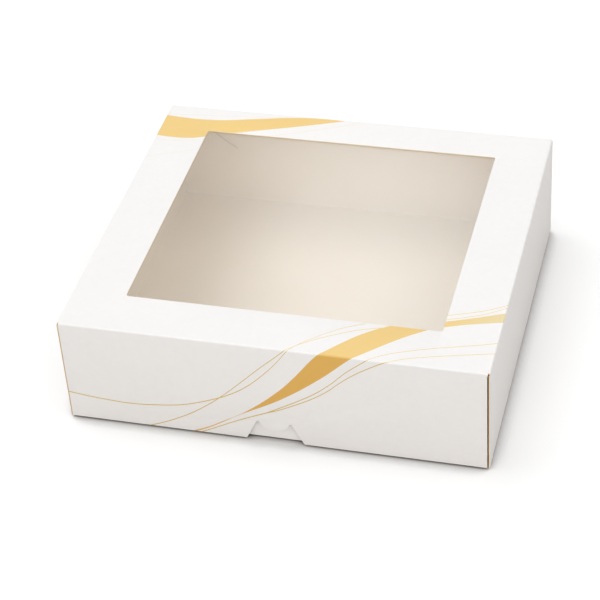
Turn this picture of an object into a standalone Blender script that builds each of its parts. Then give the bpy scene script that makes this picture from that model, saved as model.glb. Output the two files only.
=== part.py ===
"""A cake box folded from one die-cut sheet of white board.

A shallow tray carries a lid that is creased to the top of its back wall. The lid has a window with a clear
film glued behind it, and three flaps that hang outside the tray. Metres, +Z up, the origin under the middle
of the closed box. Every panel between two creases is its own object.
"""
import math

import bmesh
import bpy
from mathutils import Matrix, Vector

# The closed box, over its outer faces
LID_WIDTH = 0.230
LID_DEPTH = 0.210
BOX_HEIGHT = 0.065

# The board, its folds and the air between its layers
BOARD = 0.0006
FOLD_INSIDE = 0.0003
FOLD_STEPS = 6
SEAT_GAP = 0.0003
CUT_TOLERANCE = 0.000001
LID_CLEARANCE = 0.0022
FLAP_END_GAP = 0.0004
TABLE_GAP = 0.0005

# The window and the film behind it
WINDOW_SIDE_BORDER = 0.0294
WINDOW_FRONT_BORDER = 0.0288
WINDOW_BACK_BORDER = 0.0234
WINDOW_CORNER = 0.0014
CORNER_STEPS = 5
FILM = 0.0002
FILM_OVERLAP = 0.0080

# The thumb notch in the front flap, with its round tongue
NOTCH_FOOT_WIDTH = 0.0316
NOTCH_SIDE_LEAN = math.radians(26)
TONGUE_RADIUS = 0.0089
TONGUE_RISE = 0.0070
PEAK_RADIUS = 0.0007
TONGUE_STEPS = 16
PEAK_STEPS = 4

# The glued corner flaps, each a blunt arrowhead
GLUE_REACH = 0.0360
GLUE_FOOT = 0.0085
GLUE_TIP_HEIGHT = 0.0375
GLUE_TIP_WIDTH = 0.0040
GLUE_TIP_RADIUS = 0.0015

# Worked out from the sizes above
FOLD_OUTSIDE = FOLD_INSIDE + BOARD
FOLD_REACH = FOLD_INSIDE + BOARD / 2
FOLD_LENGTH = FOLD_REACH * math.pi / 2
CREASE_SIDE = (LID_WIDTH - BOARD) / 2
CREASE_FRONT = (LID_DEPTH - BOARD) / 2
CREASE_HEIGHT = BOX_HEIGHT - BOARD / 2
LID_UNDERSIDE = BOX_HEIGHT - BOARD
TRAY_SIDE = LID_WIDTH / 2 - BOARD - LID_CLEARANCE
TRAY_FRONT = LID_DEPTH / 2 - BOARD - LID_CLEARANCE
TRAY_BACK = LID_DEPTH / 2
WALL_TOP = LID_UNDERSIDE - SEAT_GAP
GLUED_LAYERS = BOARD + SEAT_GAP

X = Vector((1, 0, 0))
Y = Vector((0, 1, 0))
Z = Vector((0, 0, 1))


def clear_scene():
    for old in list(bpy.data.objects):
        bpy.data.objects.remove(old, do_unlink=True)


def make_material(name, colour, roughness, alpha=1.0):
    material = bpy.data.materials.new(name)
    material.use_nodes = True
    shader = material.node_tree.nodes["Principled BSDF"]
    shader.inputs["Base Color"].default_value = (*colour, 1)
    shader.inputs["Roughness"].default_value = roughness
    shader.inputs["Metallic"].default_value = 0
    shader.inputs["Alpha"].default_value = alpha
    return material


def add_empty(name, place, parent=None):
    empty = bpy.data.objects.new(name, None)
    bpy.context.scene.collection.objects.link(empty)
    hang(empty, place, parent)
    return empty


def world_place(thing):
    place = thing.location.copy()
    while thing.parent:
        thing = thing.parent
        place += thing.location
    return place


def hang(thing, place, parent):
    """Put a thing at a place of the whole box, under its parent."""
    thing.parent = parent
    thing.location = place - world_place(parent) if parent else place


def add_piece(name, bm, material, place=Vector(), parent=None):
    """Turn a bmesh drawn in the box's frame into an object whose origin is at place."""
    bm.normal_update()
    bmesh.ops.recalc_face_normals(bm, faces=bm.faces[:])
    bmesh.ops.translate(bm, verts=bm.verts[:], vec=-place)
    mesh = bpy.data.meshes.new(name)
    bm.to_mesh(mesh)
    bm.free()
    mesh.materials.append(material)
    piece = bpy.data.objects.new(name, mesh)
    bpy.context.scene.collection.objects.link(piece)
    hang(piece, place, parent)
    return piece


def rectangle(low, high):
    return [(low[0], low[1]), (high[0], low[1]), (high[0], high[1]), (low[0], high[1])]


def cut_sheet(points, thickness):
    """A sheet cut to an outline in its own plane, lying with its outer face at height zero."""
    bm = bmesh.new()
    corners = [bm.verts.new((across, along, 0)) for across, along in points]
    bm.faces.new(corners)
    thicken(bm, thickness)
    return bm


def thicken(bm, thickness):
    face_down = bm.faces[:]
    grown = bmesh.ops.extrude_face_region(bm, geom=face_down, use_keep_orig=True)
    raised = [item for item in grown["geom"] if isinstance(item, bmesh.types.BMVert)]
    bmesh.ops.translate(bm, verts=raised, vec=Z * thickness)


def stand(bm, across, up, inward, corner):
    """Lay the sheet's own directions along the box's, with the outline's zero at corner."""
    turn = Matrix((across, up, inward)).transposed().to_4x4()
    bm.transform(Matrix.Translation(corner) @ turn)


def crease_near_edge(bm, line, along, first_out, then_out):
    """Bend the strip of the sheet next to its lower edge a quarter turn about a line.

    The sheet's lower edge joins a panel whose outer side faces first_out. Past the bend its own outer
    side faces then_out.
    """
    for step in range(FOLD_STEPS):
        place = Vector((0, FOLD_LENGTH * (step + 1) / FOLD_STEPS, 0))
        geometry = bm.verts[:] + bm.edges[:] + bm.faces[:]
        bmesh.ops.bisect_plane(bm, geom=geometry, plane_co=place, plane_no=Y, dist=CUT_TOLERANCE)
    for vert in bm.verts:
        across, up, depth = vert.co
        turn = min(up / FOLD_REACH, math.pi / 2)
        out = first_out * math.cos(turn) + then_out * math.sin(turn)
        beyond = max(up - FOLD_LENGTH, 0)
        vert.co = line + along * across + out * (FOLD_OUTSIDE - depth) - first_out * beyond


def tray_floor(material):
    inset = FOLD_OUTSIDE + SEAT_GAP
    low = (inset - TRAY_SIDE, inset - TRAY_FRONT)
    high = (TRAY_SIDE - inset, TRAY_BACK - inset)
    bm = cut_sheet(rectangle(low, high), BOARD)
    return add_piece("tray_floor", bm, material)


def folded_wall(name, material, half_length, middle, top, line, along, out):
    """A tray wall with the quarter fold that joins it to the floor."""
    height = FOLD_LENGTH + top - FOLD_OUTSIDE
    bm = cut_sheet(rectangle((middle - half_length, 0), (middle + half_length, height)), BOARD)
    crease_near_edge(bm, line, along, -Z, out)
    return add_piece(name, bm, material)


def tray_walls(material):
    front_line = Vector((0, FOLD_OUTSIDE - TRAY_FRONT, FOLD_OUTSIDE))
    folded_wall("tray_front_wall", material, TRAY_SIDE, 0, WALL_TOP, front_line, X, -Y)
    back_line = Vector((0, TRAY_BACK - FOLD_OUTSIDE, FOLD_OUTSIDE))
    folded_wall("tray_back_wall", material, TRAY_SIDE, 0, CREASE_HEIGHT - FOLD_REACH, back_line, X, Y)
    front_end = glue_plane(-1) + FOLD_OUTSIDE + SEAT_GAP
    back_end = glue_plane(1) - FOLD_OUTSIDE - SEAT_GAP
    half_length = (back_end - front_end) / 2
    middle = (back_end + front_end) / 2
    for name, side in (("tray_left_wall", -1), ("tray_right_wall", 1)):
        line = Vector((side * (TRAY_SIDE - FOLD_OUTSIDE), 0, FOLD_OUTSIDE))
        folded_wall(name, material, half_length, middle, WALL_TOP, line, Y, X * side)


def glue_plane(end):
    """Where a corner flap's outer face lies, against the front wall for -1 and the back wall for 1."""
    wall = TRAY_BACK if end > 0 else TRAY_FRONT
    return end * (wall - GLUED_LAYERS)


def glue_flap_outline():
    """Height up the corner, then distance round it: a broad root that narrows to a blunt tip."""
    tip = FOLD_LENGTH + GLUE_REACH - FOLD_OUTSIDE
    shoulder = tip - GLUE_TIP_RADIUS
    low = GLUE_TIP_HEIGHT - GLUE_TIP_WIDTH / 2
    high = GLUE_TIP_HEIGHT + GLUE_TIP_WIDTH / 2
    half_tip = GLUE_TIP_WIDTH / 2 - GLUE_TIP_RADIUS / 2
    return [
        (GLUE_FOOT, 0),
        (WALL_TOP, 0),
        (WALL_TOP, FOLD_LENGTH),
        (high, shoulder),
        (GLUE_TIP_HEIGHT + half_tip, tip),
        (GLUE_TIP_HEIGHT - half_tip, tip),
        (low, shoulder),
        (GLUE_FOOT, FOLD_LENGTH),
    ]


def glue_flaps(material):
    for end_name, end in (("front", -1), ("rear", 1)):
        for side_name, side in (("left", -1), ("right", 1)):
            bm = cut_sheet(glue_flap_outline(), BOARD)
            line = Vector((side * (TRAY_SIDE - FOLD_OUTSIDE), glue_plane(end) - end * FOLD_OUTSIDE, 0))
            crease_near_edge(bm, line, Z, X * side, Y * end)
            add_piece(f"glue_flap_{end_name}_{side_name}", bm, material)


def window_corners():
    low = (WINDOW_SIDE_BORDER - LID_WIDTH / 2, WINDOW_FRONT_BORDER - LID_DEPTH / 2)
    high = (LID_WIDTH / 2 - WINDOW_SIDE_BORDER, LID_DEPTH / 2 - WINDOW_BACK_BORDER)
    return low, high


def lid_panel(material, hinge):
    """The lid's flat top, cut round its window."""
    bm = bmesh.new()
    opening = [bm.verts.new((across, along, 0)) for across, along in rectangle(*window_corners())]
    bm.faces.new(opening)
    bmesh.ops.bevel(
        bm,
        geom=opening,
        offset=WINDOW_CORNER,
        offset_type="OFFSET",
        segments=CORNER_STEPS,
        profile=0.5,
        affect="VERTICES",
        material=-1,
    )
    bmesh.ops.delete(bm, geom=bm.faces[:], context="FACES_ONLY")
    side = CREASE_SIDE - FOLD_REACH
    front = CREASE_FRONT - FOLD_REACH
    edge = [bm.verts.new((across, along, 0)) for across, along in rectangle((-side, -front), (side, front))]
    for start, end in zip(edge, edge[1:] + edge[:1]):
        bm.edges.new((start, end))
    bmesh.ops.triangle_fill(bm, edges=bm.edges[:], use_beauty=True)
    thicken(bm, BOARD)
    bmesh.ops.translate(bm, verts=bm.verts[:], vec=Z * LID_UNDERSIDE)
    return add_piece("lid_panel", bm, material, world_place(hinge), hinge)


def window_film(material, hinge):
    low, high = window_corners()
    low = (low[0] - FILM_OVERLAP, low[1] - FILM_OVERLAP)
    high = (high[0] + FILM_OVERLAP, high[1] + FILM_OVERLAP)
    bm = cut_sheet(rectangle(low, high), FILM)
    bmesh.ops.translate(bm, verts=bm.verts[:], vec=Z * (LID_UNDERSIDE - SEAT_GAP - FILM))
    return add_piece("window_film", bm, material, world_place(hinge), hinge)


def notch_outline():
    """The thumb notch's edge from its left foot to its right foot, measured from the flap's lower edge.

    Each leaning side runs up into a small round peak, which is tangent to the side and to the tongue.
    """
    tongue_middle = Vector((0, TONGUE_RISE + TONGUE_RADIUS))
    foot = Vector((-NOTCH_FOOT_WIDTH / 2, 0))
    lean = Vector((math.sin(NOTCH_SIDE_LEAN), math.cos(NOTCH_SIDE_LEAN)))
    into_notch = Vector((lean.y, -lean.x))
    offset_foot = foot + into_notch * PEAK_RADIUS - tongue_middle
    half_b = offset_foot.dot(lean)
    reach = TONGUE_RADIUS + PEAK_RADIUS
    rise = -half_b - math.sqrt(max(half_b * half_b - offset_foot.length_squared + reach * reach, 0))
    peak = tongue_middle + offset_foot + lean * rise
    to_tongue = tongue_middle - peak
    start = math.atan2(-into_notch.y, -into_notch.x)
    end = math.atan2(to_tongue.y, to_tongue.x)
    swept = (start - end) % (2 * math.pi)
    left = [foot]
    for step in range(PEAK_STEPS + 1):
        angle = start - swept * step / PEAK_STEPS
        left.append(peak + PEAK_RADIUS * Vector((math.cos(angle), math.sin(angle))))
    meet = math.atan2(-to_tongue.y, -to_tongue.x) % (2 * math.pi)
    bottom = 3 * math.pi / 2
    half_steps = TONGUE_STEPS // 2
    for step in range(1, half_steps):
        angle = meet + (bottom - meet) * step / half_steps
        left.append(tongue_middle + TONGUE_RADIUS * Vector((math.cos(angle), math.sin(angle))))
    lowest = Vector((0, TONGUE_RISE))
    right = [Vector((-point.x, point.y)) for point in reversed(left)]
    return [(point.x, point.y) for point in [*left, lowest, *right]]


def front_flap(material, hinge):
    half_width = LID_WIDTH / 2 - BOARD - FLAP_END_GAP
    height = CREASE_HEIGHT - FOLD_REACH - TABLE_GAP
    outline = [(-half_width, height), (-half_width, 0), *notch_outline(), (half_width, 0), (half_width, height)]
    bm = cut_sheet(outline, BOARD)
    stand(bm, X, Z, Y, Vector((0, -LID_DEPTH / 2, TABLE_GAP)))
    return add_piece("lid_front_flap", bm, material, world_place(hinge), hinge)


def side_flap(name, side, material, hinge):
    height = CREASE_HEIGHT - FOLD_REACH - TABLE_GAP
    back_end = LID_DEPTH / 2 - SEAT_GAP
    bm = cut_sheet(rectangle((-LID_DEPTH / 2, 0), (back_end, height)), BOARD)
    stand(bm, Y, Z, X * -side, Vector((side * LID_WIDTH / 2, 0, TABLE_GAP)))
    return add_piece(name, bm, material, world_place(hinge), hinge)


def build():
    clear_scene()
    outside = make_material("coated_white_board", (0.93, 0.92, 0.91), 0.45)
    inside = make_material("cream_board", (0.90, 0.84, 0.75), 0.65)
    corner = make_material("cream_board_glued_corner", (0.78, 0.70, 0.60), 0.65)
    clear = make_material("clear_film", (0.95, 0.95, 0.95), 0.05, 0.15)

    tray_floor(inside)
    tray_walls(inside)
    glue_flaps(corner)

    lid_hinge = add_empty("lid_hinge", Vector((0, CREASE_FRONT, CREASE_HEIGHT)))
    lid_panel(outside, lid_hinge)
    window_film(clear, lid_hinge)

    front_hinge = add_empty("front_flap_hinge", Vector((0, -CREASE_FRONT, CREASE_HEIGHT)), lid_hinge)
    front_flap(outside, front_hinge)
    for name, side in (("left", -1), ("right", 1)):
        hinge = add_empty(f"{name}_flap_hinge", Vector((side * CREASE_SIDE, 0, CREASE_HEIGHT)), lid_hinge)
        side_flap(f"lid_{name}_flap", side, outside, hinge)


build()
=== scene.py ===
import bmesh
import bpy
import math
from mathutils import Matrix, Vector


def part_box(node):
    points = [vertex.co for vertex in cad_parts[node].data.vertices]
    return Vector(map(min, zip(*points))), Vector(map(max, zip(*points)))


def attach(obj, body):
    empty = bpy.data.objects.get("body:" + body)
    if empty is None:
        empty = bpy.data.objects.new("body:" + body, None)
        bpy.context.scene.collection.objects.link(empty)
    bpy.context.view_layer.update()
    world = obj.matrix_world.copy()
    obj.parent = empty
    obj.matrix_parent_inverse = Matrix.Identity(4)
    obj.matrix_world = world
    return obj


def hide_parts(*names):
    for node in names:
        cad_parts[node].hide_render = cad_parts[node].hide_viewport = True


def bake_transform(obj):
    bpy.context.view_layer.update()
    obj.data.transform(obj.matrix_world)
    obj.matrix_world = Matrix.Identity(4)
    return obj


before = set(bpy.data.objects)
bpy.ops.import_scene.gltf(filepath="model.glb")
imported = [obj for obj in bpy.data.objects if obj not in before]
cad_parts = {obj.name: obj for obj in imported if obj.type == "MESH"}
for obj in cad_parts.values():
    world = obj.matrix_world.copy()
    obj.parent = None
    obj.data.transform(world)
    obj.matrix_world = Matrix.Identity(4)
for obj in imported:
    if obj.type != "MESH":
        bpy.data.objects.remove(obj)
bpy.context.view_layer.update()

# The tray's floor is the middle of the one sheet that the whole box is folded from. The sheet is folding
# board: clay-coated and white on its outer side, bare cream pulp on its inner side, and tan where the die
# has cut it.
floor_low, floor_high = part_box("tray_floor")
board = floor_high.z - floor_low.z
fold_inside = 0.0003
fold_outside = fold_inside + board
pressed_rim = 0.0001
rim_steps = 2
slope_of_a_cut = 0.2
sharp_fold = math.radians(30)
OUTER_SIDE, INNER_SIDE, CUT_SIDE = 0, 1, 2
X, Y, Z = Vector((1, 0, 0)), Vector((0, 1, 0)), Vector((0, 0, 1))


def new_finish(name, roughness):
    material = bpy.data.materials.new(name)
    material.use_nodes = True
    shader = material.node_tree.nodes["Principled BSDF"]
    shader.inputs["Roughness"].default_value = roughness
    return material, material.node_tree, shader


def fill(tree, socket, value):
    """Link a socket to a pattern, or set it to a plain number or colour."""
    if isinstance(value, bpy.types.NodeSocket):
        tree.links.new(value, socket)
    elif isinstance(value, tuple):
        socket.default_value = (*value, 1)
    else:
        socket.default_value = value


def pulp_noise(tree, per_metre, detail=2.0, stretch=(1, 1, 1)):
    """A noise held in the sheet itself, which can be stretched along the pulp's grain."""
    place = tree.nodes.new("ShaderNodeTexCoord")
    grain = tree.nodes.new("ShaderNodeMapping")
    noise = tree.nodes.new("ShaderNodeTexNoise")
    grain.inputs["Scale"].default_value = stretch
    noise.inputs["Scale"].default_value = per_metre
    noise.inputs["Detail"].default_value = detail
    tree.links.new(place.outputs["Object"], grain.inputs["Vector"])
    tree.links.new(grain.outputs["Vector"], noise.inputs["Vector"])
    return noise.outputs["Fac"]


def ranged(tree, value, low, high, to_low=0.0, to_high=1.0):
    mapped = tree.nodes.new("ShaderNodeMapRange")
    for name, number in (("From Min", low), ("From Max", high), ("To Min", to_low), ("To Max", to_high)):
        fill(tree, mapped.inputs[name], number)
    fill(tree, mapped.inputs["Value"], value)
    return mapped.outputs["Result"]


def sums(tree, operation, first, second=0.0):
    node = tree.nodes.new("ShaderNodeMath")
    node.operation = operation
    fill(tree, node.inputs[0], first)
    fill(tree, node.inputs[1], second)
    return node.outputs["Value"]


def blended(tree, share, first, second):
    """A colour between two others."""
    mix = tree.nodes.new("ShaderNodeMix")
    mix.data_type = "RGBA"
    share_socket, first_socket, second_socket = mix.inputs[0], mix.inputs[6], mix.inputs[7]
    fill(tree, share_socket, share)
    fill(tree, first_socket, first)
    fill(tree, second_socket, second)
    return mix.outputs[2]


def emboss(tree, shader, height, depth):
    """Raise the surface by a height pattern whose full step is depth metres."""
    bump = tree.nodes.new("ShaderNodeBump")
    bump.inputs["Distance"].default_value = depth
    fill(tree, bump.inputs["Height"], height)
    fill(tree, shader.inputs["Normal"], bump.outputs["Normal"])


coat_over_pulp = (0.918, 0.901, 0.887)
coat_full = (0.940, 0.924, 0.912)
pulp_pale, pulp_light, pulp_cloud = (0.905, 0.790, 0.610), (0.925, 0.818, 0.650), (0.890, 0.762, 0.576)
ply_tan, ply_light = (0.60, 0.38, 0.15), (0.80, 0.58, 0.30)


def coated_white(name):
    """The clay-coated side: nearly smooth, with a faint mottle where the pulp shows through the coating."""
    material, tree, shader = new_finish(name, roughness=0.42)
    shader.inputs["Specular IOR Level"].default_value = 0.05
    mottle = pulp_noise(tree, per_metre=260, detail=4)
    cloud = pulp_noise(tree, per_metre=24, detail=2)
    share = ranged(tree, sums(tree, "ADD", mottle, cloud), low=0.7, high=1.3)
    white = blended(tree, share, coat_over_pulp, coat_full)
    fill(tree, shader.inputs["Base Color"], white)
    roughness = ranged(tree, mottle, low=0.3, high=0.7, to_low=0.37, to_high=0.47)
    fill(tree, shader.inputs["Roughness"], roughness)
    emboss(tree, shader, pulp_noise(tree, per_metre=1100, detail=3), depth=0.000004)
    return material, tree, shader, white


def cream_pulp():
    """The bare side: cream pulp with short paler and darker fibres and a matt tooth."""
    material, tree, shader = new_finish("cream_pulp", roughness=0.5)
    shader.inputs["Specular IOR Level"].default_value = 0.9
    fibre = pulp_noise(tree, per_metre=1300, detail=3, stretch=(1, 0.35, 1))
    cloud = pulp_noise(tree, per_metre=40, detail=3)
    streaked = blended(tree, ranged(tree, fibre, low=0.35, high=0.65), pulp_pale, pulp_light)
    clouded = ranged(tree, cloud, low=0.3, high=0.7, to_low=0.0, to_high=0.4)
    toned = blended(tree, clouded, streaked, pulp_cloud)
    fill(tree, shader.inputs["Base Color"], toned)
    emboss(tree, shader, fibre, depth=0.000015)
    return material


def die_cut_plies():
    """The cut edge: tan plies pressed together by the die."""
    material, tree, shader = new_finish("die_cut_plies", roughness=0.8)
    ply = pulp_noise(tree, per_metre=2600, detail=2)
    tan = blended(tree, ranged(tree, ply, low=0.35, high=0.65), ply_tan, ply_light)
    fill(tree, shader.inputs["Base Color"], tan)
    return material


white_side = coated_white("coated_white")[0]
cream_side = cream_pulp()
cut_side = die_cut_plies()
plain_board = (white_side, cream_side, cut_side)


def die_cut_sheet(outline, creased_edges=(), rim=pressed_rim):
    """A flat piece of the sheet, drawn across and up, with its outer side at depth zero facing down.

    The die leaves the coated side's rim slightly round, except along edges that run on into a crease. An
    edge is named by its place in the outline.
    """
    sheet = bmesh.new()
    corners = [sheet.verts.new((across, up, 0)) for across, up in outline]
    outer = sheet.faces.new(corners)
    sheet.normal_update()
    if outer.normal.z > 0:
        outer.normal_flip()
    thicken(sheet, board)
    next_corners = corners[1:] + corners[:1]
    outline_edges = [sheet.edges.get(ends) for ends in zip(corners, next_corners)]
    cut_edges = [edge for place, edge in enumerate(outline_edges) if place not in creased_edges]
    round_edges(sheet, cut_edges, rim, rim_steps)
    colour_sides(sheet)
    return sheet


def thicken(sheet, rise):
    """Raise a copy of the flat faces, and close the sides between."""
    grown = bmesh.ops.extrude_face_region(sheet, geom=sheet.faces[:], use_keep_orig=True)
    raised = [item for item in grown["geom"] if isinstance(item, bmesh.types.BMVert)]
    bmesh.ops.translate(sheet, verts=raised, vec=Z * rise)


def round_edges(sheet, edges, width, segments):
    bmesh.ops.bevel(
        sheet,
        geom=edges,
        offset=width,
        offset_type="OFFSET",
        segments=segments,
        profile=0.5,
        affect="EDGES",
        material=-1,
    )
    bmesh.ops.recalc_face_normals(sheet, faces=sheet.faces[:])


def colour_sides(sheet):
    """White outside, cream inside and tan along the cuts, while the sheet still lies flat."""
    for face in sheet.faces:
        if face.normal.z < -slope_of_a_cut:
            face.material_index = OUTER_SIDE
        elif face.normal.z > slope_of_a_cut:
            face.material_index = INNER_SIDE
        else:
            face.material_index = CUT_SIDE


def rectangle(low, high):
    return [(low[0], low[1]), (high[0], low[1]), (high[0], high[1]), (low[0], high[1])]


def finish_piece(name, sheet, sides, nodes=(), body=None):
    mesh = bpy.data.meshes.new(name)
    bmesh.ops.recalc_face_normals(sheet, faces=sheet.faces[:])
    sheet.to_mesh(mesh)
    sheet.free()
    for side in sides:
        mesh.materials.append(side)
    mesh.shade_smooth()
    mesh.set_sharp_from_angle(angle=sharp_fold)
    piece = bpy.data.objects.new(name, mesh)
    bpy.context.scene.collection.objects.link(piece)
    if body:
        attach(piece, body)
    if nodes:
        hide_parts(*nodes)
    return piece


tray_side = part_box("tray_right_wall")[1].x
tray_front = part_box("tray_front_wall")[0].y
tray_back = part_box("tray_back_wall")[1].y
floor_corner = (fold_outside - tray_side, fold_outside + tray_front)
far_floor_corner = (tray_side - fold_outside, tray_back - fold_outside)
floor_sheet = die_cut_sheet(rectangle(floor_corner, far_floor_corner), creased_edges=(0, 1, 2, 3))
finish_piece("tray_floor_board", floor_sheet, plain_board, ["tray_floor"], "tray")


# Four low walls of the same sheet stand round the floor. Each is one panel with the crease that joins it to
# the floor, a quarter round with a tight inner radius. The back wall's top runs on into the lid, and the
# other three end in a cut.
fold_middle = fold_inside + board / 2
fold_length = fold_middle * math.pi / 2
fold_steps = 8
cutting_slack = 0.000001
wall_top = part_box("tray_left_wall")[1].z


def fold_near_start(sheet, line, along, first_out, then_out):
    """Bend the sheet a quarter turn about a line, starting where its own height is zero."""
    for step in range(fold_steps + 1):
        place = Vector((0, fold_length * step / fold_steps, 0))
        geometry = sheet.verts[:] + sheet.edges[:] + sheet.faces[:]
        bmesh.ops.bisect_plane(sheet, geom=geometry, plane_co=place, plane_no=Y, dist=cutting_slack)
    for vert in sheet.verts:
        across, up, depth = vert.co
        turn = min(max(up, 0) / fold_middle, math.pi / 2)
        out = first_out * math.cos(turn) + then_out * math.sin(turn)
        before = max(-up, 0)
        beyond = max(up - fold_length, 0)
        bent = line + along * across + out * (fold_outside - depth)
        vert.co = bent - then_out * before - first_out * beyond


def wall_board(name, half_length, middle, top, line, along, out, crease_above=False):
    height = fold_length + top - fold_outside
    outline = rectangle((middle - half_length, 0), (middle + half_length, height))
    sheet = die_cut_sheet(outline, creased_edges=(0, 2) if crease_above else (0,))
    fold_near_start(sheet, line, along, -Z, out)
    finish_piece(f"{name}_board", sheet, plain_board, [name], "tray")


front_line = Vector((0, tray_front + fold_outside, fold_outside))
back_line = Vector((0, tray_back - fold_outside, fold_outside))
wall_board("tray_front_wall", tray_side, 0, wall_top, front_line, X, -Y)
wall_board("tray_back_wall", tray_side, 0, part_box("tray_back_wall")[1].z, back_line, X, Y, crease_above=True)

glue_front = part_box("glue_flap_front_left")[0].y
glue_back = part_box("glue_flap_rear_left")[1].y
side_length = glue_back - glue_front - 2 * fold_outside
side_middle = (glue_back + glue_front) / 2
for side_name, side in (("left", -1), ("right", 1)):
    side_line = Vector((side * (tray_side - fold_outside), 0, fold_outside))
    wall_board(f"tray_{side_name}_wall", side_length / 2, side_middle, wall_top, side_line, Y, X * side)


# Each end of a side wall turns the corner into a flap that narrows to a blunt arrowhead. The four flaps are
# glued to the insides of the front and back walls, and hold the tray square.
glue_reach = 0.0360
glue_foot = 0.0085
arrow_height = 0.0375
arrow_width = 0.0040
arrow_round = 0.0015


def glue_flap_outline():
    """Height up the corner, then distance round it."""
    tip = fold_length + glue_reach - fold_outside
    shoulder = tip - arrow_round
    half = arrow_width / 2
    blunt = half - arrow_round / 2
    return [
        (glue_foot, 0),
        (wall_top, 0),
        (wall_top, fold_length),
        (arrow_height + half, shoulder),
        (arrow_height + blunt, tip),
        (arrow_height - blunt, tip),
        (arrow_height - half, shoulder),
        (glue_foot, fold_length),
    ]


for end_name, end, glued_at in (("front", -1, glue_front), ("rear", 1, glue_back)):
    for side_name, side in (("left", -1), ("right", 1)):
        sheet = die_cut_sheet(glue_flap_outline(), creased_edges=(0,))
        corner_line = Vector((side * (tray_side - fold_outside), glued_at - end * fold_outside, 0))
        fold_near_start(sheet, corner_line, Z, X * side, Y * end)
        node = f"glue_flap_{end_name}_{side_name}"
        finish_piece(f"{node}_board", sheet, plain_board, [node], "tray")


# The lid is the same sheet carried on over the back wall, printed on its coated side in gold: two broad
# ribbons that taper away, and fine lines that swing beside them. The print runs over the front crease on to
# the flap, where its gold is made deeper than on the lid top as painted shade on the hanging flap.
lid_low, lid_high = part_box("lid_panel")
print_left, print_right = -0.115, 0.115
print_foot, print_head = -0.170, 0.105
mm_per_metre = 1000
ink_edge = 0.00005
# The flap's gold and line gold are deeper copies of the lid's: painted shade.
flap_gold_painted_shade, lid_gold, pale_gold = (0.790, 0.475, 0.128), (0.890, 0.640, 0.262), (0.840, 0.720, 0.430)
flap_line_gold_painted_shade, lid_line_gold = (0.69, 0.49, 0.08), (0.87, 0.71, 0.40)
print_crease = -0.105
crease_share_soft = 0.004
gold_pales_from = 0.084
fine_width, faint_width = 0.58, 0.40
full_ink, faint_ink = 1.0, 0.35


def share_of(value, low, high):
    return (value - low) / (high - low)


def print_shares(across, up):
    return share_of(across, print_left, print_right), share_of(up, print_foot, print_head)


def lay_print(sheet):
    """Map the coated side as it lay flat: across the box, and up the front flap and on over the lid."""
    layer = sheet.loops.layers.uv.new("print")
    for face in sheet.faces:
        for loop in face.loops:
            place = loop.vert.co
            unrolled = place.y + place.z - lid_high.z
            loop[layer].uv = print_shares(place.x, unrolled)


def drawn_height(tree, across, points):
    """The height up the print of a smooth line drawn through a few points, given in millimetres."""
    curve = tree.nodes.new("ShaderNodeFloatCurve")
    line = curve.mapping.curves[0]
    shares = [print_shares(x / mm_per_metre, y / mm_per_metre) for x, y in points]
    line.points[0].location = shares[0]
    line.points[1].location = shares[-1]
    for share in shares[1:-1]:
        line.points.new(*share)
    curve.mapping.extend = "HORIZONTAL"
    curve.mapping.update()
    fill(tree, curve.inputs["Value"], across)
    return curve.outputs["Value"]


def between(tree, across, points):
    """One from a line's first point to its last, and zero beyond them."""
    start, end = (share_of(points[place][0] / mm_per_metre, print_left, print_right) for place in (0, -1))
    past_start = sums(tree, "GREATER_THAN", across, start)
    before_end = sums(tree, "LESS_THAN", across, end)
    return sums(tree, "MULTIPLY", past_start, before_end)


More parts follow.
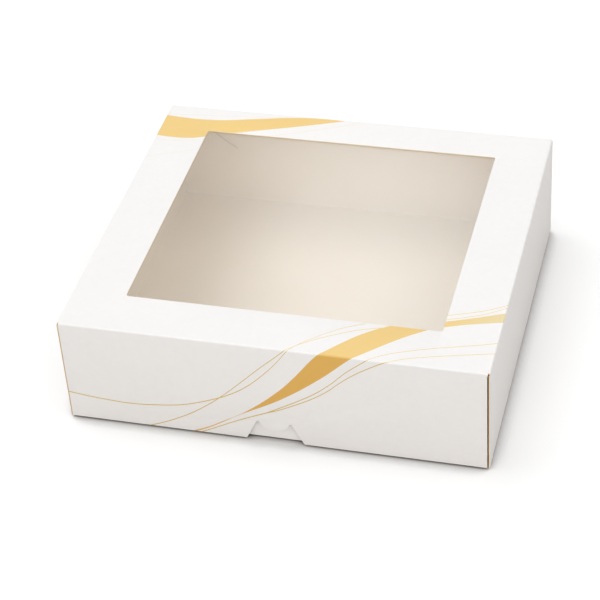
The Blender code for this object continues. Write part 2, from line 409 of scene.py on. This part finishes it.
ribbons_mm = [
    (
        [(-47.0, -169.9), (-37.7, -165.6), (-27.0, -158.9), (-21.5, -155.4), (-14.7, -150.6), (4.8, -132.6)]
        + [(11.5, -124.6), (26.6, -105), (55.7, -77.7), (85.8, -67.9), (114.9, -56.0)],
        [(-47.0, -171.0), (-37.7, -166.4), (-27.0, -159.5), (-21.5, -155.6), (-14.7, -151.4), (4.4, -139.6)]
        + [(26.1, -122.3), (44.2, -105), (76.5, -77.2), (85.7, -72.6), (114.9, -63.7)],
    ),
    (
        [(-114.9, 93.6), (-84.1, 93.0), (-59.8, 98.0), (-34.6, 103.1), (-7.9, 103.9)],
        [(-114.9, 72.4), (-94.4, 72.4), (-87, 74.7), (-68.6, 81.9), (-32.9, 94.3), (-7.8, 103.8)],
    ),
]
fine_lines_mm = [
    (
        fine_width,
        full_ink,
        [(-115, -152.2), (-105.6, -153.5), (-92.1, -154.8), (-78.6, -155.3), (-64.9, -154.1), (-51.3, -151.9)]
        + [(-42.1, -149.0), (-32.9, -145.2), (-24.3, -140.9), (-15.0, -134.5), (-5.7, -125.6), (3.6, -114.6)]
        + [(8.3, -107.9), (14.3, -99.4), (22.8, -91.3), (31.6, -84.2), (37.0, -80.8), (45.2, -76.8)],
    ),
    (
        fine_width,
        full_ink,
        [(-71.5, -170.2), (-61.7, -166.0), (-47.4, -158.0), (-37.9, -151.1), (-33.1, -147.1), (-24.1, -138.7)]
        + [(-14.6, -128.9), (-5.2, -119.1), (4.0, -110.1), (14.3, -99.7), (19.5, -95.7), (23.3, -93.1)]
        + [(32.5, -87.6), (37.9, -84.7), (44.2, -81.9), (55.7, -78.3)],
    ),
    (
        fine_width,
        full_ink,
        [(-42.3, -170.3), (-32.4, -164.9), (-22.4, -159.3), (-12.7, -154.3), (-4.7, -150.5), (3.2, -145.8)]
        + [(13.8, -139.1), (22.8, -132.8), (31.7, -124.9), (40.6, -115.3), (49.3, -107.6), (54.5, -103.1)]
        + [(61.0, -98.9), (70.5, -94.7), (80.1, -91.2), (94.7, -86.7), (104.5, -83.9), (114.9, -80.4)],
    ),
    (
        fine_width,
        full_ink,
        [(-42.3, -170.3), (-32.4, -164.9), (-22.4, -159.3), (-12.7, -154.3), (-4.7, -150.5), (3.1, -147.0)]
        + [(13.7, -141.2), (22.6, -135.6), (31.5, -128.5), (36.0, -123.9), (44.7, -116.3), (53.3, -110.2)]
        + [(61.8, -105.1), (71.6, -100.4), (81.3, -97.3), (96.0, -93.4), (114.9, -88.7)],
    ),
    (fine_width, full_ink, [(85.3, -62.9), (95.0, -59.5), (102.4, -56.5), (108.0, -53.7), (114.9, -49.3)]),
    (fine_width, full_ink, [(86.0, -66.2), (95.6, -62.6), (101.6, -60.0), (106.3, -57.5), (114.9, -51.6)]),
    (faint_width, faint_ink, [(-115.7, 94.5), (-40.9, 102.1)]),
    (faint_width, faint_ink, [(-113.3, 67.3), (-87.1, 71.5), (-50.3, 81.2), (1.3, 103.3)]),
    (faint_width, faint_ink, [(-113.7, 50.8), (-86.7, 61.7), (-50.3, 80.0), (4.5, 103.3)]),
]


def printed_board():
    material, tree, shader, white = coated_white("printed_white")
    laid = tree.nodes.new("ShaderNodeUVMap")
    laid.uv_map = "print"
    apart = tree.nodes.new("ShaderNodeSeparateXYZ")
    fill(tree, apart.inputs[0], laid.outputs["UV"])
    across, up = apart.outputs["X"], apart.outputs["Y"]
    soft = ink_edge / (print_head - print_foot)

    ribbon = None
    for upper_points, lower_points in ribbons_mm:
        below_upper = sums(tree, "SUBTRACT", drawn_height(tree, across, upper_points), up)
        above_lower = sums(tree, "SUBTRACT", up, drawn_height(tree, across, lower_points))
        inside = ranged(tree, sums(tree, "MINIMUM", below_upper, above_lower), -soft, soft)
        kept = sums(tree, "MULTIPLY", inside, between(tree, across, upper_points))
        ribbon = sums(tree, "MAXIMUM", ribbon, kept) if ribbon else kept

    fine = None
    for width, strength, points in fine_lines_mm:
        half = width / mm_per_metre / 2 / (print_head - print_foot)
        away = sums(tree, "ABSOLUTE", sums(tree, "SUBTRACT", up, drawn_height(tree, across, points)))
        drawn = ranged(tree, away, half + soft, half - soft, 0.0, strength)
        kept = sums(tree, "MULTIPLY", drawn, between(tree, across, points))
        fine = sums(tree, "MAXIMUM", fine, kept) if fine else kept

    crease_share = share_of(print_crease, print_foot, print_head)
    # Where the print crosses the front crease, the gold turns from the lid's tone to the flap's deeper one:
    # painted shade.
    on_lid = ranged(tree, up, crease_share - crease_share_soft, crease_share + crease_share_soft)
    gold = blended(tree, on_lid, flap_gold_painted_shade, lid_gold)
    paling = ranged(tree, across, share_of(gold_pales_from, print_left, print_right), 1.0)
    gold = blended(tree, paling, gold, pale_gold)
    line_gold = blended(tree, on_lid, flap_line_gold_painted_shade, lid_line_gold)
    inked = blended(tree, ribbon, white, gold)
    lined = blended(tree, fine, inked, line_gold)
    fill(tree, shader.inputs["Base Color"], lined)
    return material


printed_side = printed_board()
printed_sides = (printed_side, cream_side, cut_side)
film_low, film_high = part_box("window_film")
film_overlap = 0.008
window_low = (film_low.x + film_overlap, film_low.y + film_overlap)
window_high = (film_high.x - film_overlap, film_high.y - film_overlap)
window_round = 0.0014
window_steps = 6
crease_lead = 0.0004
half_grid = 1.5
facing_up, standing = 0.9, 0.1


def lid_board():
    """A grid of three by three cells with the middle one cut out, its corners rounded."""
    columns = (lid_low.x + crease_lead, window_low[0], window_high[0], lid_high.x - crease_lead)
    rows = (lid_low.y + crease_lead, window_low[1], window_high[1], lid_high.y - crease_lead)
    sheet = bmesh.new()
    bmesh.ops.create_grid(sheet, x_segments=3, y_segments=3, size=half_grid)
    for vert in sheet.verts:
        vert.co.x = columns[round(vert.co.x + half_grid)]
        vert.co.y = rows[round(vert.co.y + half_grid)]
    middle = min(sheet.faces, key=lambda face: face.calc_center_median().length)
    window_corners = middle.verts[:]
    bmesh.ops.delete(sheet, geom=[middle], context="FACES_ONLY")
    thicken(sheet, -board)
    bmesh.ops.recalc_face_normals(sheet, faces=sheet.faces[:])
    touching = [edge for vert in window_corners for edge in vert.link_edges]
    corner_edges = [edge for edge in touching if abs(edge.calc_length() - board) < cutting_slack]
    round_edges(sheet, corner_edges, window_round, window_steps)
    window_rim = [
        edge
        for edge in sheet.edges
        if len(edge.link_faces) == 2
        and max(face.normal.z for face in edge.link_faces) > facing_up
        and min(abs(face.normal.z) for face in edge.link_faces) < standing
        and abs(edge.verts[0].co.x) < window_high[0] + cutting_slack
        and window_low[1] - cutting_slack < edge.verts[0].co.y < window_high[1] + cutting_slack
    ]
    round_edges(sheet, window_rim, pressed_rim, rim_steps)
    for face in sheet.faces:
        face.material_index = OUTER_SIDE if face.normal.z > slope_of_a_cut else INNER_SIDE
    bmesh.ops.translate(sheet, verts=sheet.verts[:], vec=Z * lid_high.z)
    lay_print(sheet)
    return sheet


finish_piece("lid_board", lid_board(), printed_sides, ["lid_panel"], "lid")


# A clear film closes the window, glued to the lid's inner side all round the opening. It is thin and
# glossy, and lies almost flat.
film_glue = 0.00002
film_veil, film_veil_at_a_slant = 0.11, 0.9
slant_power = 4.0
film_columns, film_rows = 24, 22


def film_finish():
    """Each face of the film mirrors a little of the studio, more at a slant, and lets the rest through."""
    material, tree, shader = new_finish("clear_window_film", roughness=0.22)
    shader.inputs["Base Color"].default_value = (1, 1, 1, 1)
    shader.inputs["Metallic"].default_value = 1
    slant = tree.nodes.new("ShaderNodeLayerWeight")
    slant.inputs["Blend"].default_value = 0.5
    steep = sums(tree, "POWER", slant.outputs["Facing"], slant_power)
    fill(tree, shader.inputs["Alpha"], ranged(tree, steep, 0.0, 1.0, film_veil, film_veil_at_a_slant))
    emboss(tree, shader, pulp_noise(tree, per_metre=14, detail=1), depth=0.0002)
    return material


film_size = film_high - film_low
film_middle = (film_low + film_high) / 2
film_seat = Vector((film_middle.x, film_middle.y, lid_low.z - film_glue))
film_sheet = bmesh.new()
bmesh.ops.create_grid(film_sheet, x_segments=film_columns, y_segments=film_rows, size=0.5)
bmesh.ops.scale(film_sheet, verts=film_sheet.verts[:], vec=(film_size.x, film_size.y, 1))
thicken(film_sheet, -film_size.z)
bmesh.ops.translate(film_sheet, verts=film_sheet.verts[:], vec=film_seat)
finish_piece("clear_film", film_sheet, (film_finish(),), ["window_film"], "lid")


# The front flap hangs outside the tray from the lid's front crease. Its foot is cut into a thumb notch: two
# sides lean in to small round peaks, with a half-round tongue between them.
notch_foot_width = 0.0316
notch_side_lean = math.radians(26)
tongue_round = 0.0089
tongue_rise = 0.0070
peak_round = 0.0007
tongue_steps = 24
peak_steps = 6
hanging_rim = 0.00018
left_end_reach = 0.0003
right_end_inset = 0.00035


def notch_outline():
    """The notch's edge from foot to foot: each side runs smoothly round a peak and into the tongue."""
    tongue_middle = Vector((0, tongue_rise + tongue_round))
    foot = Vector((-notch_foot_width / 2, 0))
    lean = Vector((math.sin(notch_side_lean), math.cos(notch_side_lean)))
    into_notch = Vector((lean.y, -lean.x))
    from_tongue = foot + into_notch * peak_round - tongue_middle
    half_b = from_tongue.dot(lean)
    reach = tongue_round + peak_round
    rise = -half_b - math.sqrt(half_b * half_b - from_tongue.length_squared + reach * reach)
    peak = tongue_middle + from_tongue + lean * rise
    to_tongue = tongue_middle - peak
    start = math.atan2(-into_notch.y, -into_notch.x)
    swept = (start - math.atan2(to_tongue.y, to_tongue.x)) % (2 * math.pi)
    left = [foot]
    for step in range(peak_steps + 1):
        angle = start - swept * step / peak_steps
        left.append(peak + peak_round * Vector((math.cos(angle), math.sin(angle))))
    meet = math.atan2(-to_tongue.y, -to_tongue.x) % (2 * math.pi)
    bottom = 3 * math.pi / 2
    half_steps = tongue_steps // 2
    for step in range(1, half_steps):
        angle = meet + (bottom - meet) * step / half_steps
        left.append(tongue_middle + tongue_round * Vector((math.cos(angle), math.sin(angle))))
    right = [Vector((-point.x, point.y)) for point in reversed(left)]
    return [(point.x, point.y) for point in [*left, Vector((0, tongue_rise)), *right]]


def set_up(sheet, across, up, inward, corner):
    """Turn the flat sheet's own directions to the box's, with its zero at a corner."""
    turn = Matrix((across, up, inward)).transposed().to_4x4()
    sheet.transform(Matrix.Translation(corner) @ turn)


flap_low, flap_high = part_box("lid_front_flap")
flap_height = flap_high.z - flap_low.z
left_end = flap_low.x - left_end_reach
right_end = flap_high.x - right_end_inset
front_outline = [
    (left_end, flap_height - crease_lead),
    (left_end, 0),
    *notch_outline(),
    (right_end, 0),
    (right_end, flap_height - crease_lead),
]
front_sheet = die_cut_sheet(front_outline, creased_edges=(len(front_outline) - 1,), rim=hanging_rim)
set_up(front_sheet, X, Z, Y, Vector((0, flap_low.y, flap_low.z)))
lay_print(front_sheet)
finish_piece("front_flap_board", front_sheet, printed_sides, ["lid_front_flap"], "front_flap")


def crease_board(name, half_length, line, along, first_out, then_out):
    """The sheet's own quarter round between two panels."""
    start_corner = (-half_length, -crease_lead)
    end_corner = (half_length, fold_length + crease_lead)
    sheet = die_cut_sheet(rectangle(start_corner, end_corner), creased_edges=(0, 2))
    fold_near_start(sheet, line, along, first_out, then_out)
    lay_print(sheet)
    piece = finish_piece(name, sheet, printed_sides)
    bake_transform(piece)


front_crease_line = Vector((0, lid_low.y, lid_high.z - fold_outside))
crease_board("front_crease", flap_high.x, front_crease_line, X, Z, -Y)


# Two side flaps hang from the lid's side creases and cover the tray's ends. They reach forward past the front
# flap's ends, so that their cut front edges show at both corners.
for side_name, side in (("left", -1), ("right", 1)):
    side_low, side_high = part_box(f"lid_{side_name}_flap")
    outer_face = side_low.x if side < 0 else side_high.x
    outline = rectangle((side_low.y, 0), (side_high.y, flap_height - crease_lead))
    side_sheet = die_cut_sheet(outline, creased_edges=(2,), rim=hanging_rim)
    set_up(side_sheet, Y, Z, X * -side, Vector((outer_face, 0, side_low.z)))
    body = f"{side_name}_flap"
    finish_piece(f"{body}_board", side_sheet, plain_board, [f"lid_{body}"], body)
    line = Vector((side * lid_high.x, 0, lid_high.z - fold_outside))
    half = (lid_high.y - lid_low.y) / 2
    crease_board(f"{side_name}_crease", half, line, Y, Z, X * side)


# The lid's hinge is only a crease, pressed into the sheet along the top of the back wall. It bends a quarter
# turn forward while the box is closed, and a quarter turn back when the lid lies open behind it.
back_crease_line = Vector((0, lid_high.y, lid_high.z - fold_outside))
crease_board("back_crease", lid_high.x, back_crease_line, X, Z, Y)


# The box stands on a white floor in a soft white studio, which is a little darker low on its right. Next to
# the box the floor's colour holds a painted contact shadow. A key lamp hangs high on its left and a fill high
# on its right, a broad low fill lights its front, and the film mirrors a cool soft box behind it.
floor_gap = 0.0008
floor_half = 4
contact_reach = 0.018
least_air, open_air = 0.16, 0.72
painted_contact_shadow = (0.12, 0.095, 0.075)
floor_in_light = (0.575, 0.54, 0.505)
floor_lift = 0.05
studio_bright, studio_shaded = 0.75, 0.36
bright_side, shaded_side = -1.4, 1.0


def seen_share(tree):
    """One where the camera, a reflection or a clear film looks, and zero in the light."""
    path = tree.nodes.new("ShaderNodeLightPath")
    seen = sums(tree, "MAXIMUM", path.outputs["Is Camera Ray"], path.outputs["Is Glossy Ray"])
    return sums(tree, "MAXIMUM", seen, path.outputs["Is Transmission Ray"])


floor_material, floor_tree, floor_shader = new_finish("white_floor", roughness=0.9)
floor_shader.inputs["Specular IOR Level"].default_value = 0
floor_seen = seen_share(floor_tree)
# Painted contact shadow: where ambient occlusion finds the box near, the floor the camera sees turns towards a
# dark brown and loses its lift.
near_box = floor_tree.nodes.new("ShaderNodeAmbientOcclusion")
near_box.samples = 16
near_box.inputs["Distance"].default_value = contact_reach
floor_path = floor_tree.nodes.new("ShaderNodeLightPath")
air = ranged(floor_tree, near_box.outputs["AO"], least_air, open_air)
clear_of_box = sums(floor_tree, "MAXIMUM", air, floor_path.outputs["Is Glossy Ray"])
shown_floor = blended(floor_tree, clear_of_box, painted_contact_shadow, (1, 1, 1))
floor_colour = blended(floor_tree, floor_seen, floor_in_light, shown_floor)
fill(floor_tree, floor_shader.inputs["Base Color"], floor_colour)
floor_shader.inputs["Emission Color"].default_value = (1, 1, 1, 1)
lift = sums(floor_tree, "MULTIPLY", floor_seen, clear_of_box)
fill(floor_tree, floor_shader.inputs["Emission Strength"], sums(floor_tree, "MULTIPLY", lift, floor_lift))
floor_mesh = bmesh.new()
bmesh.ops.create_grid(floor_mesh, x_segments=1, y_segments=1, size=floor_half)
bmesh.ops.translate(floor_mesh, verts=floor_mesh.verts[:], vec=-Z * floor_gap)
floor_data = bpy.data.meshes.new("studio_floor")
floor_mesh.to_mesh(floor_data)
floor_mesh.free()
floor_data.materials.append(floor_material)
studio_floor = bpy.data.objects.new("studio_floor", floor_data)
bpy.context.scene.collection.objects.link(studio_floor)

world = bpy.data.worlds.new("white_studio")
world.use_nodes = True
bpy.context.scene.world = world
world_tree = world.node_tree
background = world_tree.nodes["Background"]
background.inputs["Color"].default_value = (1, 1, 1, 1)
towards = world_tree.nodes.new("ShaderNodeTexCoord")
apart = world_tree.nodes.new("ShaderNodeSeparateXYZ")
fill(world_tree, apart.inputs[0], towards.outputs["Generated"])
low_right = sums(world_tree, "SUBTRACT", apart.outputs["X"], apart.outputs["Z"])
shaded_right = ranged(world_tree, low_right, bright_side, shaded_side, studio_bright, studio_shaded)
strength = ranged(world_tree, seen_share(world_tree), 0.0, 1.0, shaded_right, 1.0)
fill(world_tree, background.inputs["Strength"], strength)


def hang(lamp, towards, place=(0, 0, 0)):
    holder = bpy.data.objects.new(lamp.name, lamp)
    holder.location = place
    holder.rotation_euler = Vector(towards).to_track_quat("-Z", "Y").to_euler()
    bpy.context.scene.collection.objects.link(holder)
    return holder


def add_lamp(name, towards, energy, spread_degrees):
    """A broad distant lamp, which the film doesn't mirror."""
    lamp = bpy.data.lights.new(name, "SUN")
    lamp.energy = energy
    lamp.angle = math.radians(spread_degrees)
    hang(lamp, towards).visible_glossy = False


add_lamp("soft_key", towards=(0.38, -0.12, -0.91), energy=0.52, spread_degrees=40)
add_lamp("high_fill", towards=(-0.56, -0.26, -0.79), energy=0.39, spread_degrees=50)
add_lamp("low_fill", towards=(-0.28, 0.90, -0.34), energy=1.19, spread_degrees=76)

soft_box = bpy.data.lights.new("soft_box", "AREA")
soft_box.shape = "DISK"
soft_box.size = 0.36
soft_box.energy = 0.45
soft_box.color = (0.82, 0.92, 1.0)
hang(soft_box, towards=(0.19, -0.76, -0.62), place=(-0.26, 1.21, 1.05))

camera_data = bpy.data.cameras.new("camera")
camera_data.lens = 120.925
camera_data.sensor_width = 36
camera = bpy.data.objects.new("camera", camera_data)
camera.location = (0.24619, -0.85501, 0.72881)
camera.rotation_euler = tuple(math.radians(angle) for angle in (51.1558, 3.3757, 14.1136))
bpy.context.scene.collection.objects.link(camera)
bpy.context.scene.camera = camera
bpy.context.scene.view_settings.view_transform = "Standard"
